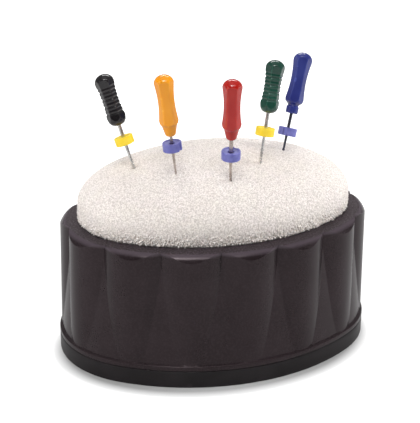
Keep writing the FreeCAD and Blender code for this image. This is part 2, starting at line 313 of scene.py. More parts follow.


# %% [markdown]
# ## The shell: an oval tub with a fluted wall
# The tub's outline is an oval of four arcs, two tight ones at the ends and two wide ones at the sides,
# because insets of such an oval share its centres and so keep an even wall. Fourteen shallow lobes
# run round it and meet in grooves. A plain cone rises inside them, and shows between the lobes as slim
# spires. Near the top the wall rounds over into the rim and cuts each lobe off with a lens-shaped
# shoulder. Modelling fourteen lobes by hand would never repeat so evenly, so a rule presses them into
# a plain wall. The plastic is satin black, with a painted highlight that makes the top of the crown a
# little paler, and matt with a coarse speckle on the rim's flat.

# %% Oval
OVAL_JOINT_DEG = 53.0


def oval(half_long, half_short, shares):
    """Points of the four-arc oval at shares of its length from the right end on, and its normals."""
    joint = math.radians(OVAL_JOINT_DEG)
    end = (half_long - half_short) / (1 - 1 / math.cos(joint) + math.tan(joint))
    side = end * math.tan(joint)
    centres = np.array([(end, 0), (0, -side), (-end, 0), (0, side)])
    radii = np.array([half_long - end, half_short + side] * 2)
    starts = np.array([-joint, joint, math.pi - joint, math.pi + joint])
    lengths = radii * np.array([2 * joint, math.pi - 2 * joint] * 2)
    passed = np.cumsum(lengths)
    along = (shares * passed[-1] + lengths[0] / 2) % passed[-1]
    arc = np.minimum(np.searchsorted(passed, along, side="right"), 3)
    angle = starts[arc] + (along - passed[arc] + lengths[arc]) / radii[arc]
    normals = np.stack([np.cos(angle), np.sin(angle)], 1)
    return centres[arc] + radii[arc, None] * normals, normals


def level(half_long, half_short, z, shares):
    """One loop of the oval at height z."""
    points, _ = oval(half_long, half_short, shares)
    return np.column_stack([points, np.full(len(shares), z)])


FOOT_HALF_LONG, FOOT_HALF_SHORT = 30.0, 21.75
PARTING_Z, WALL_FOOT_Z, RIM_Z = 3.3, 4.4, 25.8
print("the foot measures", 2 * FOOT_HALF_LONG, "by", 2 * FOOT_HALF_SHORT, "mm")

# %% The plain tub, before its flutes
LOBES, COLUMNS_PER_LOBE = 14, 48
COLUMNS = LOBES * COLUMNS_PER_LOBE
CROWDING = 0.4
LOBE_LINE_INSET = 2.7
POCKET = (25.75, 17.05)
SEAT_WIDTH, SEAT_TOP_Z = 1.75, 8.0

# Steps up the wall: 0 to 1 is the cone, 1 to 2 the lobe above it, 2 to 3 the crown
WALL_STEPS = [0, 0.25, 0.5, 0.7, 0.84, 0.92, 0.97, 1, 1.03, 1.08, 1.16, 1.35, 1.6, 1.8, 1.93, 1.99,
              2, 2.05, 2.15, 2.25, 2.35, 2.45, 2.55, 2.65, 2.75, 2.85, 2.93, 3]
# From the crown over the rim into the pocket: offset from the pocket, drop below the rim
RIM_EDGE = [(1.4, 0), (0.7, 0), (0.25, 0), (0.1, 0.04), (0.03, 0.12), (0, 0.3)]
POCKET_LEVELS, SEAT_LEVELS = (24.0, 20.0, 14.0, SEAT_TOP_Z), (SEAT_TOP_Z, 5.5, PARTING_Z)
# From under the flange up to the wall: inset from the foot, rise above the parting line
FLANGE_EDGE = [(1.2, 0), (0.2, 0), (0.08, 0.03), (0.02, 0.08), (0, 0.16), (0, 0.45), (0, 0.76),
               (0.02, 0.85), (0.07, 0.92), (0.14, 0.96), (0.22, 0.98), (0.27, 1.02)]


def lobe_line(shares):
    """Points and normals of the oval inside the foot along which the lobes are spaced evenly."""
    return oval(FOOT_HALF_LONG - LOBE_LINE_INSET, FOOT_HALF_SHORT - LOBE_LINE_INSET, shares)


def foot_inset(inset, z, shares):
    """Loop drawn in from the foot's outline, with its points in line with evenly spaced lobes."""
    line, normals = lobe_line(shares)
    return np.column_stack([line + normals * (LOBE_LINE_INSET - inset), np.full(len(shares), z)])


def pocket_offset(offset, z, shares):
    return level(POCKET[0] + offset, POCKET[1] + offset, z, shares)


# Columns of points crowd a little towards the grooves between the lobes, where the wall bends most
even = np.arange(COLUMNS) / COLUMNS * LOBES
crowded = (1 - np.cos(np.pi * (even % 1))) / 2
columns = (np.floor(even + 1e-9) + (1 - CROWDING) * (even % 1) + CROWDING * crowded) / LOBES
tub = [foot_inset(0, WALL_FOOT_Z, columns) for _ in WALL_STEPS]
tub += [pocket_offset(offset, RIM_Z - drop, columns) for offset, drop in RIM_EDGE]
tub += [pocket_offset(0, z, columns) for z in POCKET_LEVELS]
tub += [pocket_offset(SEAT_WIDTH, z, columns) for z in SEAT_LEVELS]
tub += [foot_inset(inset, PARTING_Z + rise, columns) for inset, rise in FLANGE_EDGE]
tub_mesh = skin("stand_shell", tub)
print("the plain tub has", len(tub), "loops of", COLUMNS, "points")

# %% What the rule needs to know of each point
def note(mesh, name, values, kind="FLOAT", field="value"):
    """Store one value for each point of the mesh under a name."""
    mesh.attributes.new(name, kind, "POINT").data.foreach_set(field, np.ravel(values))


other_loops = len(tub) - len(WALL_STEPS)
_, outward = lobe_line(columns)
outward = np.column_stack([outward, np.zeros(COLUMNS)])
note(tub_mesh, "step", np.repeat(WALL_STEPS + [-1] * other_loops, COLUMNS))
note(tub_mesh, "lobe", np.tile(columns * LOBES, len(tub)))
note(tub_mesh, "outward", np.tile(outward, (len(tub), 1)), "FLOAT_VECTOR", "vector")
print("each point knows its step up the wall, its lobe and its way out")

# %% The rule of the flutes
FLUTE_SIZES = {
    "Wall Foot": WALL_FOOT_Z, "Rim": RIM_Z, "Crest Inset": 0.3, "Crest Draft": 0.2, "Valley Depth": 1.64,
    "Cone Foot": 0.52, "Spire Top": 23.0, "Crown Width": 2.0, "Crown Height": 3.1, "Edge Softness": 0.05,
}
WELD_MM = 0.001


def flute_rule():
    """Moves a plain oval wall in to the lobes, spires and crown. Lengths are in metres inside."""
    tree, given = start_rule("Flutes", {name: size * MM for name, size in FLUTE_SIZES.items()})

    def named(attribute, kind="FLOAT"):
        inputs = {"Name": attribute}
        return add(tree, "GeometryNodeInputNamedAttribute", inputs, data_type=kind).outputs[0]

    def sums(operation, *values):
        return calc(tree, operation, *values)

    wall_foot, rim, crest, depth, cone_foot = (
        given[name] for name in ("Wall Foot", "Rim", "Crest Inset", "Valley Depth", "Cone Foot"))
    step = named("step")
    across = sums("MULTIPLY_ADD", sums("FRACT", named("lobe")), 2.0, -1.0)
    lobe_foot = sums("MULTIPLY_ADD", sums("MULTIPLY", across, across), depth, crest)
    valley = sums("ADD", sums("ADD", crest, given["Crest Draft"]), depth)
    cone_rise = sums("SUBTRACT", given["Spire Top"], wall_foot)
    cone_draft = sums("DIVIDE", sums("SUBTRACT", valley, cone_foot), cone_rise)
    lobe_draft = sums("DIVIDE", given["Crest Draft"], sums("SUBTRACT", rim, wall_foot))

    def leaning(foot, draft, z):
        return sums("MULTIPLY_ADD", sums("SUBTRACT", z, wall_foot), draft, foot)

    def crown_height(inset):
        part = sums("DIVIDE", sums("SUBTRACT", valley, inset), given["Crown Width"])
        left = sums("SUBTRACT", 1.0, sums("SQRT", sums("SUBTRACT", 1.0, sums("MULTIPLY", part, part))))
        return sums("SUBTRACT", rim, sums("MULTIPLY", left, given["Crown Height"]))

    # Heights where the wall changes from cone to lobe, and from lobe to crown
    meeting = sums("DIVIDE", sums("SUBTRACT", lobe_foot, cone_foot),
                   sums("SUBTRACT", cone_draft, lobe_draft))
    meeting = sums("MAXIMUM", sums("ADD", meeting, wall_foot), wall_foot)
    shoulder = crown_height(leaning(lobe_foot, lobe_draft, rim))
    shoulder = crown_height(leaning(lobe_foot, lobe_draft, shoulder))
    cone_share, lobe_share, crown_share = (
        span(tree, step, start, start + 1.0, 0.0, 1.0) for start in (0.0, 1.0, 2.0))
    height = between(tree, lobe_share, between(tree, cone_share, wall_foot, meeting), shoulder)
    wall_inset = sums("SMOOTH_MIN", leaning(lobe_foot, lobe_draft, height),
                      leaning(cone_foot, cone_draft, height), given["Edge Softness"])
    inset = between(tree, crown_share, wall_inset, valley)
    height = between(tree, sums("GREATER_THAN", step, 2.0), height, crown_height(inset))

    position = add(tree, "GeometryNodeInputPosition").outputs[0]
    push = {0: named("outward", "FLOAT_VECTOR"), "Scale": sums("MULTIPLY", inset, -1.0)}
    inward = add(tree, "ShaderNodeVectorMath", push, operation="SCALE")
    moved = add(tree, "ShaderNodeVectorMath", {0: position, 1: inward.outputs[0]}, operation="ADD")
    parts = add(tree, "ShaderNodeSeparateXYZ", {0: moved.outputs[0]}).outputs
    place = add(tree, "ShaderNodeCombineXYZ", {"X": parts["X"], "Y": parts["Y"], "Z": height})
    pressed = add(tree, "GeometryNodeSetPosition", {
        "Geometry": given["Geometry"], "Selection": sums("GREATER_THAN", step, -0.5),
        "Position": place.outputs[0]})
    welded = add(tree, "GeometryNodeMergeByDistance", {
        "Geometry": pressed.outputs[0], "Distance": WELD_MM * MM})
    end_rule(tree, welded.outputs[0], given["Material"])
    return tree


# %% The shell's satin black, with a painted highlight below the rim, and matt on it
SHELL_COLOUR, SHELL_WORN_AND_HIGHLIT, SHELL_SPECKLE = linear(28, 21, 23), linear(46, 38, 41), linear(50, 42, 45)
CROWN_PAINTED_HIGHLIGHT, RIM_SPECKLE = linear(92, 82, 90), linear(84, 76, 82)
SHELL_GRAIN_MM, RIM_GRAIN_MM, RIM_GRAIN_DEPTH_MM, WALL_GRAIN_SHARE = 0.35, 0.3, 0.05, 0.02
RIM_ROUGHNESS = 0.62
# Below the rim's top: its flat, and the band over which a highlight is painted on the crown
RIM_FLAT, HIGHLIGHT_FROM, HIGHLIGHT_TO = 0.06, 0.8, 0.3


def shell_black():
    material, tree, shader, place = moulded(
        "satin_black_plastic", SHELL_COLOUR, SHELL_WORN_AND_HIGHLIT, gloss=(0.17, 0.26), grain_mm=SHELL_GRAIN_MM,
        Specular_IOR_Level=0.36, Specular_Tint=(1.0, 0.84, 0.88, 1.0))
    height = add(tree, "ShaderNodeSeparateXYZ", {0: place}).outputs["Z"]
    on_rim = calc(tree, "GREATER_THAN", height, (RIM_Z - RIM_FLAT) * MM)
    rough = shader.inputs["Roughness"].links[0].from_socket
    inputs = {0: on_rim, 2: rough, 3: RIM_ROUGHNESS}
    tree.links.new(add(tree, "ShaderNodeMix", inputs).outputs[0], shader.inputs["Roughness"])
    fine, eroded = noise(tree, place, SHELL_GRAIN_MM), noise(tree, place, RIM_GRAIN_MM, 3.0)
    speckled = calc(tree, "MULTIPLY", on_rim, span(tree, eroded, 0.45, 0.65, 0.0, 0.9))
    plain = shader.inputs["Base Color"].links[0].from_socket
    plain = blend(tree, span(tree, fine, 0.45, 0.65, 0.0, 0.35), plain, SHELL_SPECKLE)
    # Painted highlight: the crown turns paler in a band just below the rim
    crown = calc(tree, "MULTIPLY", calc(tree, "SUBTRACT", 1.0, on_rim),
                 span(tree, height, (RIM_Z - HIGHLIGHT_FROM) * MM, (RIM_Z - HIGHLIGHT_TO) * MM, 0.0, 0.5))
    plain = blend(tree, crown, plain, CROWN_PAINTED_HIGHLIGHT)
    tree.links.new(blend(tree, speckled, plain, RIM_SPECKLE), shader.inputs["Base Color"])
    wall_grain = calc(tree, "MULTIPLY", fine, WALL_GRAIN_SHARE)
    grain = add(tree, "ShaderNodeMix", {0: on_rim, 2: wall_grain, 3: eroded})
    raise_grain(tree, shader, grain.outputs[0], RIM_GRAIN_DEPTH_MM)
    return material


black_plastic = shell_black()
shell_mesh = follow_rule(flute_rule(), tub_mesh, {"Material": black_plastic})
show("stand_shell", shell_mesh, black_plastic, "stand", "stand_body", sharp_deg=32)

# %% [markdown]
# ## The bottom plate
# The tub is moulded open at both ends, and a plate closes it from below. Between the two stays a thin
# dark line all round. The plate is one stack of ovals: from the middle of its underside out to the foot,
# up to the line, in to the wall that finds its place inside the tub, and back to the middle. Small
# rounded edges matter more than anything else here, because they are what catches the light.

# %% Bottom plate
PLATE_COLUMNS = 336
UNDERSIDE_SHARES, INSIDE_SHARES = (0.2, 0.55, 0.8, 0.95), (0.7, 0.3)
# Up the plate's edge: inset from the foot, height
PLATE_EDGE = [(0.3, 0), (0.16, 0.01), (0.08, 0.04), (0.04, 0.09), (0.02, 0.17), (0.02, 1.2), (0.02, 2.2),
              (0.02, 3.02), (0.04, 3.1), (0.09, 3.17), (0.18, 3.22), (0.6, 3.24)]
# Up the locating wall, over it and down its inside: offset from the pocket, height
LOCATING_WALL = [(1.62, 3.28), (1.62, 5.0), (1.62, 7.7), (1.5, 7.88), (0.15, 7.88), (0.02, 7.7),
                 (0.02, 5.0), (0.02, PARTING_Z)]

plate_columns = np.arange(PLATE_COLUMNS) / PLATE_COLUMNS
plate = [level(FOOT_HALF_LONG * share, FOOT_HALF_SHORT * share, 0, plate_columns)
         for share in UNDERSIDE_SHARES]
plate += [foot_inset(inset, z, plate_columns) for inset, z in PLATE_EDGE]
plate += [pocket_offset(offset, z, plate_columns) for offset, z in LOCATING_WALL]
plate += [level(POCKET[0] * share, POCKET[1] * share, PARTING_Z, plate_columns)
          for share in INSIDE_SHARES]
plate_mesh = skin("stand_bottom", plate, poles=[(0, 0, 0), (0, 0, PARTING_Z)])
base_plastic, *_ = moulded("base_black_plastic", linear(26, 23, 24), linear(46, 42, 44),
                           gloss=(0.3, 0.42), grain_mm=0.5, grain_depth_mm=0.002, Specular_IOR_Level=0.2)
show("stand_bottom", plate_mesh, base_plastic, "stand", "base_plate")

# %% [markdown]
# ## The hand files: one table, three pieces each
# The five files differ only in numbers, so one table holds where each enters the foam, how it leans and
# how thick it is. A file is drawn upright, with the underside of its handle at height zero, and one
# matrix stands it in the foam: the shortest turn from straight up to the way it leans.

# %% Where the files stand
FOAM_HALVES = (26.2, 17.55)
SHOULDER_Z, DOME_HEIGHT, DOME_POWER = 28.9, 8.7, 2.5

# Where a file enters the foam, its leans, how far the handle is from the foam and the stop from the
# handle, the width of tip and shank, and how far the handle and the stop's notch are turned
HandFile = namedtuple("HandFile", "x y right_deg near_deg stands_out stop_below tip shank turn notch")
FILES = {
    "black": HandFile(-15.9, -0.1, -15.4, -14.0, 8.1, 3.0, 0.40, 0.70, 12, -40),
    "yellow": HandFile(-10.1, -7.9, -7.3, -0.7, 8.0, 2.0, 0.20, 0.54, 14, -48),
    "red": HandFile(-1.1, -11.5, -2.0, 6.0, 8.3, 3.05, 0.25, 0.70, 9, 38),
    "green": HandFile(6.2, -7.0, 11.3, -8.1, 9.4, 3.5, 0.35, 0.68, 20, 20),
    "blue": HandFile(13.3, -0.8, 16.7, -12.9, 6.9, 3.5, 0.30, 0.58, 6, 228),
}


def foam_height(x, y):
    reach = np.hypot(x / FOAM_HALVES[0], y / FOAM_HALVES[1])
    return SHOULDER_Z + DOME_HEIGHT * np.sqrt(1 - np.minimum(reach, 1) ** DOME_POWER)


def file_place(colour, along=0.0, turn_deg=0.0):
    """Matrix that stands an upright piece of a file in the foam, moved along the file's axis."""
    file = FILES[colour]
    right, near = (math.tan(math.radians(lean)) for lean in (file.right_deg, file.near_deg))
    axis = Vector((right, -near, 1)).normalized()
    foot = Vector((file.x, file.y, foam_height(file.x, file.y))) + axis * (file.stands_out + along)
    upright = Vector((0, 0, 1)).rotation_difference(axis).to_matrix().to_4x4()
    turn = Matrix.Rotation(math.radians(turn_deg), 4, "Z")
    return Matrix.Translation(foot * MM) @ upright @ turn


print("files:", ", ".join(FILES))

# %% [markdown]
# ## The foam block
# The foam is open-celled: thousands of small cells cut through, so it looks like fine bread. Its skin is
# a square grid bent to the oval, because rings of equal squares avoid the pinched pole that a dome of
# circles would have in the middle, right where the light falls. The rings follow the dome and run on
# down its side. Where a file goes in, the foam is drawn down in a small pucker, or pushed up a little.
# A rule then sinks the middle of every cell and frays the lower edge, where the block was cut.

# %% The foam's plain dome
FOAM_RINGS, DOME_SAMPLES = 225, 4000
FOAM_SIDE = [(1.0, 27.2), (0.998, 26.4), (0.994, 25.98)]
PLUG_REACH, PLUG_LEVELS = 0.965, (25.95, 22.0, 14.0, PARTING_Z)


def dome_profile():
    """Reach and z at even steps from the apex to the shoulder and on down the side to the rim."""
    reach = np.sin(np.linspace(0, math.pi / 2, DOME_SAMPLES)) ** 0.8
    z = SHOULDER_Z + DOME_HEIGHT * np.sqrt(1 - reach ** DOME_POWER)
    reach, z = (np.append(line, side) for line, side in zip((reach, z), zip(*FOAM_SIDE)))
    mean_half = sum(FOAM_HALVES) / 2
    along = np.concatenate([[0], np.cumsum(np.hypot(np.diff(reach) * mean_half, np.diff(z)))])
    at = np.linspace(0, along[-1], FOAM_RINGS + 1)
    return np.interp(at, along, reach), np.interp(at, along, z)


def foam_skin():
    """Grid of squares bent into rings, with the plug below it as more loops on the last ring."""
    size = 2 * FOAM_RINGS + 1
    u, v = np.meshgrid(np.arange(size) - FOAM_RINGS, np.arange(size) - FOAM_RINGS)
    ring = np.maximum(abs(u), abs(v))
    # Share of the way round each square ring, from the middle of its right side on
    with np.errstate(invalid="ignore", divide="ignore"):
        share = np.select(
            [(u == ring) & (v > -ring), v == ring, u == -ring],
            [v / ring, 2 - u / ring, 4 - v / ring], 6 + u / ring) / 8
    share = np.nan_to_num(share) % 1
    reach, z = dome_profile()
    outline, _ = oval(*FOAM_HALVES, share.ravel())
    points = np.column_stack([outline * reach[ring].ravel()[:, None], z[ring].ravel()])
    index = np.arange(size * size).reshape(size, size)
    quads = np.stack([index[:-1, :-1], index[:-1, 1:], index[1:, 1:], index[1:, :-1]], -1).reshape(-1, 4)
    rim = np.concatenate([index[FOAM_RINGS:, -1], index[-1, -2::-1], index[-2::-1, 0], index[0, 1:],
                          index[1:FOAM_RINGS, -1]])
    faces, last = quads.tolist(), rim
    rim_shares = share.ravel()[rim]
    for height in PLUG_LEVELS:
        more = level(FOAM_HALVES[0] * PLUG_REACH, FOAM_HALVES[1] * PLUG_REACH, height, rim_shares)
        new = np.arange(len(points), len(points) + len(more))
        points = np.vstack([points, more])
        faces += np.stack([new, np.roll(new, -1), np.roll(last, -1), last], -1).tolist()
        last = new
    points = np.vstack([points, [(0, 0, PLUG_LEVELS[-1])]])
    faces += [(len(points) - 1, b, a) for a, b in zip(last, np.roll(last, -1))]
    return points, faces


foam_points, foam_faces = foam_skin()
print("foam skin:", len(foam_points), "points")

# %% Puckers round the files
PUCKER_RADIUS, PUCKER_FALL = 0.9, 1.4
PUCKER_RISE = {"black": -0.5, "yellow": 0.8, "red": 0.15, "green": 0.1, "blue": -0.2}

for colour, rise in PUCKER_RISE.items():
    distance = np.hypot(foam_points[:, 0] - FILES[colour].x, foam_points[:, 1] - FILES[colour].y)
    on_dome = foam_points[:, 2] > SHOULDER_Z
    foam_points[:, 2] += on_dome * rise * np.exp(-(distance / PUCKER_RADIUS) ** 2 * PUCKER_FALL)
foam_mesh = new_mesh("foam_block", foam_points, foam_faces)
print("puckers:", len(PUCKER_RISE))

# %% Cells of the foam
CELL_SIZES = {"Cell Size": 0.32, "Cell Depth": 0.12, "Lump Size": 5.0, "Lump Height": 0.12,
              "Fray Size": 0.22, "Fray Height": 1.7}
# The edge is frayed in full up to the first height, and no more from the second
FRAY_FROM_Z, FRAY_TO_Z = 26.6, 28.6
# Values of the two noises that leave the surface where it is
LUMP_LEVEL, FRAY_LEVEL = 0.75, 0.55


def cell_rule():
    """Sinks the middle of each cell and leaves its walls; keeps the depth as an attribute."""
    tree, given = start_rule("Foam cells", {name: size * MM for name, size in CELL_SIZES.items()})
    position = add(tree, "GeometryNodeInputPosition").outputs[0]
    cells = add(tree, "ShaderNodeTexVoronoi", {
        "Vector": position, "Scale": calc(tree, "DIVIDE", 1.0, given["Cell Size"])})
    hollow = span(tree, cells.outputs["Distance"], 0.12, 0.62, 1.0, 0.0)
    inputs = {"Geometry": given["Geometry"], "Name": "hollow", "Value": hollow}
    kept = add(tree, "GeometryNodeStoreNamedAttribute", inputs, data_type="FLOAT", domain="POINT")

    def above(level, size):
        inputs = {"Vector": position, "Scale": calc(tree, "DIVIDE", 1.0, given[size]), "Detail": 1.0}
        return calc(tree, "SUBTRACT", add(tree, "ShaderNodeTexNoise", inputs).outputs["Fac"], level)

    uneven = calc(tree, "MULTIPLY", above(LUMP_LEVEL, "Lump Size"), given["Lump Height"])
    height = add(tree, "ShaderNodeSeparateXYZ", {0: position}).outputs["Z"]
    low = span(tree, height, FRAY_FROM_Z * MM, FRAY_TO_Z * MM, 1.0, 0.0)
    frayed = calc(tree, "MULTIPLY", low, given["Fray Height"])
    frayed = calc(tree, "MULTIPLY", above(FRAY_LEVEL, "Fray Size"), frayed)
    rise = calc(tree, "SUBTRACT", uneven, calc(tree, "MULTIPLY", hollow, given["Cell Depth"]))
    rise = calc(tree, "ADD", rise, frayed)
    normal = add(tree, "GeometryNodeInputNormal").outputs[0]
    offset = add(tree, "ShaderNodeVectorMath", {0: normal, "Scale": rise}, operation="SCALE")
    inputs = {"Geometry": kept.outputs[0], "Offset": offset.outputs[0]}
    moved = add(tree, "GeometryNodeSetPosition", inputs)
    end_rule(tree, moved.outputs[0], given["Material"])
    return tree


FOAM_FLESH = linear(239, 231, 228), linear(238, 232, 225)
FOAM_SPECKLE, PAINTED_CELL_SHADE = linear(196, 187, 182), linear(194, 185, 178)
# Painted shade in the open cells: darkest up to the first height, and half as dark from the second
DARK_CELLS_Z, PALE_CELLS_Z = 26, 34


def foam_white():
    material, tree, shader, place = start_material(
        "open_cell_foam", Roughness=0.95, Specular_IOR_Level=0.15, Subsurface_Weight=0.12,
        Subsurface_Radius=(1.0, 0.8, 0.7), Subsurface_Scale=0.5 * MM, Sheen_Weight=0.1)
    hollow = add(tree, "ShaderNodeAttribute", attribute_name="hollow").outputs["Fac"]
    flesh = blend(tree, span(tree, noise(tree, place, 4.0), 0.3, 0.7, 0.0, 1.0), *FOAM_FLESH)
    speckle = span(tree, noise(tree, place, 0.25, 3.0), 0.42, 0.62, 0.0, 0.9)
    flesh = blend(tree, speckle, flesh, FOAM_SPECKLE)
    height = add(tree, "ShaderNodeSeparateXYZ", {0: place}).outputs["Z"]
    # Painted shade: the hollows of the cells are darker, most of all low on the block
    cell_shade = calc(tree, "MULTIPLY", span(tree, hollow, 0.2, 1.0, 0.0, 1.0),
                      span(tree, height, DARK_CELLS_Z * MM, PALE_CELLS_Z * MM, 1.0, 0.5))
    tree.links.new(blend(tree, cell_shade, flesh, PAINTED_CELL_SHADE), shader.inputs["Base Color"])
    raise_grain(tree, shader, noise(tree, place, 0.12, 3.0), 0.03)
    return material


foam_material = foam_white()
foam_mesh = follow_rule(cell_rule(), foam_mesh, {"Material": foam_material})
foam = show("foam_block", foam_mesh, foam_material, "stand", "foam_insert", sharp_deg=180)

# %% [markdown]
# ## Handles
# A moulded handle is round at both ends and six-sided between them, with each side slightly hollow so
# that it fits the fingertips. That is one rule: at every height, the section is the smaller of a circle
# and a hexagon. The hexagon grows away from the waist, so towards the ends the circle wins, and the
# sides run out in arcs below the cap without anything being drawn. One pattern has fine rings across
# its grip, the other two a collar below it.

# %% Handle patterns
HEAD_RADIUS, BULB_RADIUS, HEAD_RISE = 1.8, 1.75, 1.54
SIDE_CURVE, RIDGE_CURVE = 36.0, 20.0
RING_MARGIN, RING_PITCH, RING_DEPTHS = 0.55, 0.66, (0.14, 0.07)
BULB_LENGTH, SIDES, RIDGE_SOFTNESS = 0.8, 6, 0.05
HANDLE_COLUMNS, CAP_STEPS, CAP_END = 96, 30, 1.56

# heights of bulb, waist and head; radius of the ridges and of the sides at the waist; outline below
PATTERNS = {
    "ringed": (1.5, 4.7, 8.1, 1.55, 1.40, [(0.75, 0), (1.2, 0.22), (1.56, 0.7)]),
    "tapered": (2.95, 6.3, 9.8, 1.47, 1.36, [(0.8, 0.1), (0.95, 0.25), (1.38, 2.05), (1.66, 2.45)]),
    "stepped": (2.75, 6.3, 10.05, 1.47, 1.36,
                [(1.02, 0), (1.17, 0.15), (1.17, 1.3), (0.98, 1.4), (0.98, 1.6), (1.66, 2.2)]),
}
HANDLE_OF = {"black": "ringed", "yellow": "tapered", "red": "tapered", "green": "ringed",
             "blue": "stepped"}


def soft_smaller(first, second, softness):
    """Smaller of two values, with the change from one to the other rounded off."""
    close = np.maximum(softness - abs(first - second), 0) / softness
    return np.minimum(first, second) - close ** 2 * softness / 4


def ring_depth(z, bulb, head):
    """Depth of the grip's grooves at height z: a deep one and a shallow one in turn."""
    first, last = bulb + RING_MARGIN, head - RING_MARGIN
    grooves = round((last - first) / RING_PITCH)
    place = np.clip((z - first) / (last - first), 0, 1) * grooves
    depth = np.where(np.floor(place) % 2 == 0, *RING_DEPTHS)
    return depth * (0.5 - 0.5 * np.cos(2 * math.pi * place))


def handle_mesh(name, pattern):
    bulb, waist, head, ridge_radius, apothem, foot = PATTERNS[pattern]
    cap = [(HEAD_RADIUS * math.cos(a), head + HEAD_RISE * math.sin(a))
           for a in np.linspace(0, CAP_END, CAP_STEPS)]
    grip = [(BULB_RADIUS, bulb), (HEAD_RADIUS, bulb + BULB_LENGTH)]
    outline = softened(foot + grip + cap, 0.06, 5)
    radius, z = outline[:, :1], outline[:, 1:]
    angle = np.arange(HANDLE_COLUMNS) * 2 * math.pi / HANDLE_COLUMNS
    depth = ring_depth(z, bulb, head) if pattern == "ringed" else 0 * z
    bow = (z - waist) ** 2 / 2
    side = 2 * math.pi / SIDES
    from_side = (angle + side / 2) % side - side / 2
    flat = (apothem + bow / SIDE_CURVE - depth) / np.cos(from_side)
    ridge = np.minimum(radius, ridge_radius + bow / RIDGE_CURVE - depth)
    reach = soft_smaller(ridge, flat, RIDGE_SOFTNESS)
    rows = np.stack([reach * np.cos(angle), reach * np.sin(angle), z + 0 * angle], -1)
    return skin(name, rows[:-1], poles=[(0, 0, z[0, 0]), (0, 0, z[-1, 0])])


# %% Handle colours and the five handles
# Each handle's own colour, and the paler one of its patches and edges, where it is wear and a painted
# highlight along the ridges
HANDLE_COLOURS = {
    "black": ((14, 11, 13), (44, 40, 44)), "yellow": ((234, 147, 10), (242, 172, 50)),
    "red": ((164, 14, 6), (190, 54, 42)), "green": ((8, 50, 40), (48, 100, 84)),
    "blue": ((30, 36, 104), (66, 78, 154)),
}

for colour, pattern in HANDLE_OF.items():
    shades = [linear(*shade) for shade in HANDLE_COLOURS[colour]]
    # The wide Pointiness range paints the highlight along more of each handle's ridges
    paint, *_ = moulded(colour + "_handle_plastic", *shades, gloss=(0.09, 0.16), grain_mm=0.3,
                        grain_depth_mm=0.001, edge=(0.508, 0.57), Specular_IOR_Level=0.65)
    mesh = handle_mesh(colour + "_handle", pattern)
    mesh.transform(file_place(colour, turn_deg=FILES[colour].turn))
    show(colour + "_handle", mesh, paint, "stand", colour + "_file_handle")

# %% [markdown]
# ## Instruments
# The cutting part of such a file starts as a square wire that is twisted, so its four edges become
# flutes. Geometry Nodes can do just that: a straight curve, tilted more and more along its length, with
# a square profile that shrinks towards the tip. The sides of the square are drawn in a little, as
# grinding leaves them. The round shank is a second curve with a circle on it, and narrows where the
# flutes run out. The steel is painted darker in the hollows of the flutes, as shade where little light
# gets in.

# %% The rule of the twisted wire
WORKING_LENGTH, FLUTED_LENGTH, FLUTE_LEAD, IN_HANDLE = 25.0, 18.2, 2.2, 6.0
# The flutes start as wide as these shares of shank and tip together, and end in a short point
HOLLOW_RADIUS, START_OF_SHANK, START_OF_TIP = 0.52, 0.5, 0.7
POINT_FROM, POINT_SHARE = 0.985, 0.2
# The shank narrows from this share of its length on, to this share of the flutes' width
NARROWS_FROM, NARROWS_TO, SHANK_OVERLAP = 0.7, 0.7, 0.6
FLUTED_STEPS, SHANK_STEPS, SHANK_COLUMNS = 400, 60, 40


def wire_rule():
    tree, given = start_rule("Twisted wire", {"Shank": 0.6 * MM, "Tip": 0.3 * MM})
    top, end = (FLUTED_LENGTH - WORKING_LENGTH) * MM, -WORKING_LENGTH * MM
    shank, tip = (calc(tree, "DIVIDE", given[name], 2.0) for name in ("Shank", "Tip"))

    def line(start_z, end_z, count):
        ends = {"Start": (0, 0, start_z), "End": (0, 0, end_z)}
        straight = add(tree, "GeometryNodeCurvePrimitiveLine", ends)
        inputs = {"Curve": straight.outputs[0], "Count": count}
        return add(tree, "GeometryNodeResampleCurve", inputs).outputs[0]

    def sweep(curve, profile, scale):
        return add(tree, "GeometryNodeCurveToMesh", {
            "Curve": curve, "Profile Curve": profile.outputs[0], "Scale": scale,
            "Fill Caps": True}).outputs[0]

    square = add(tree, "GeometryNodeCurveStar", {
        "Points": 4, "Inner Radius": HOLLOW_RADIUS, "Outer Radius": 1.0})
    circle = add(tree, "GeometryNodeCurvePrimitiveCircle", {"Resolution": SHANK_COLUMNS, "Radius": 1.0})

    along = add(tree, "GeometryNodeSplineParameter").outputs["Factor"]
    turns = 2 * math.pi * FLUTED_LENGTH / FLUTE_LEAD
    twisted = add(tree, "GeometryNodeSetCurveTilt", {
        "Curve": line(top, end, FLUTED_STEPS), "Tilt": calc(tree, "MULTIPLY", along, turns)}).outputs[0]
    start = calc(tree, "ADD", calc(tree, "MULTIPLY", shank, START_OF_SHANK),
                 calc(tree, "MULTIPLY", tip, START_OF_TIP))
    thinning = between(tree, along, start, tip)
    point = calc(tree, "MULTIPLY", thinning, span(tree, along, POINT_FROM, 1.0, 1.0, POINT_SHARE))
    narrowing = between(tree, span(tree, along, NARROWS_FROM, 1.0, 0.0, 1.0), shank,
                        calc(tree, "MULTIPLY", start, NARROWS_TO))
    joined = add(tree, "GeometryNodeJoinGeometry")
    straight_part = line(IN_HANDLE * MM, top - SHANK_OVERLAP * MM, SHANK_STEPS)
    for made in (sweep(twisted, square, point), sweep(straight_part, circle, narrowing)):
        tree.links.new(made, joined.inputs[0])
    end_rule(tree, joined.outputs[0], given["Material"])
    return tree


# %% Steel
FLUTE_PAINTED_SHADE = linear(44, 40, 40)


